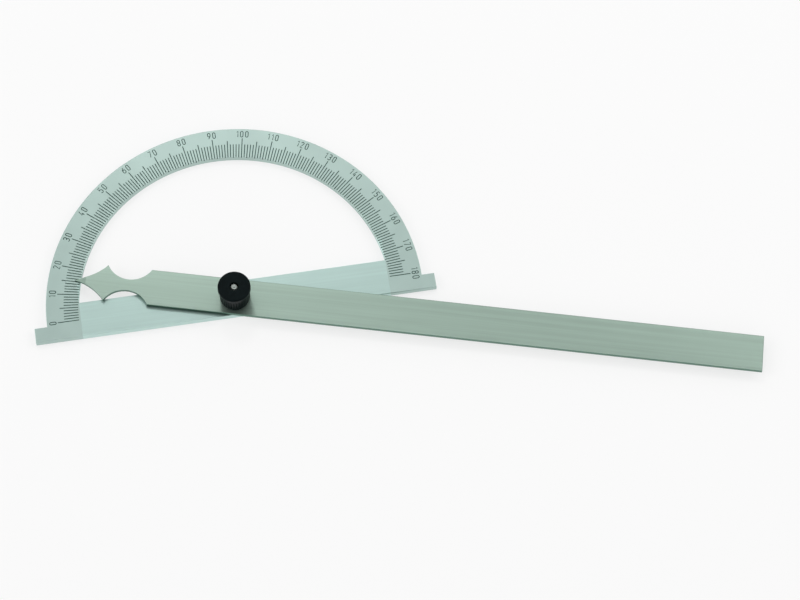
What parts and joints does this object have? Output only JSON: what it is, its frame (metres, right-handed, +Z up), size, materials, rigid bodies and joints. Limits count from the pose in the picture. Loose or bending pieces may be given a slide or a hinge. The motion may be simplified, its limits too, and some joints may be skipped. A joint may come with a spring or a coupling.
{
  "type": "bevel protractor",
  "caption": "Flat steel degree protractor: half-ring scale on a straight bar, with a pivoting straight blade and pointer clamped by a small black knob.",
  "frame": {"origin": "pivot axis at the underside of the scale plate, which rests on a surface", "axes": "+X along the bar towards the 180 degree end of the scale, +Y from the bar towards the 90 degree mark, +Z up out of the scale face"},
  "size_m": [0.2847, 0.1379, 0.0144],
  "materials": {
    "plate_steel": "satin, brushed along the bar's middle",
    "stud_steel": "turned",
    "shim_brass": "rolled",
    "blade_steel": "brushed lengthwise",
    "washer_steel": "punched",
    "insert_brass": "turned",
    "knob_plastic": "moulded, low sheen"
  },
  "bodies": {
    "base": {"scale_plate": "plate_steel", "clamp_stud": "stud_steel", "friction_shim": "shim_brass"},
    "arm": {"blade": "blade_steel"},
    "washer": {"clamp_washer": "washer_steel"},
    "clamp_knob": {"knob": "knob_plastic", "knob_insert": "insert_brass"}
  },
  "joints": [
    {"name": "blade_pivot", "type": "hinge", "parent": "base", "child": "arm", "pos_m": [0, 0, 0], "axis": [0, 0, -1], "range_deg": [-15.35, 164.65]},
    {"name": "washer_lift", "type": "slide", "parent": "base", "child": "washer", "axis": [0, 0, 1], "range_m": [0, 0.006]},
    {"name": "knob_turn", "type": "hinge", "parent": "washer", "child": "clamp_knob", "pos_m": [0, 0, 0], "axis": [0, 0, 1], "range_deg": [0, 4320]}
  ],
  "couplings": [
    {"joint": "washer_lift", "follows": "knob_turn", "m_per_rad": 0.000079577}
  ]
}
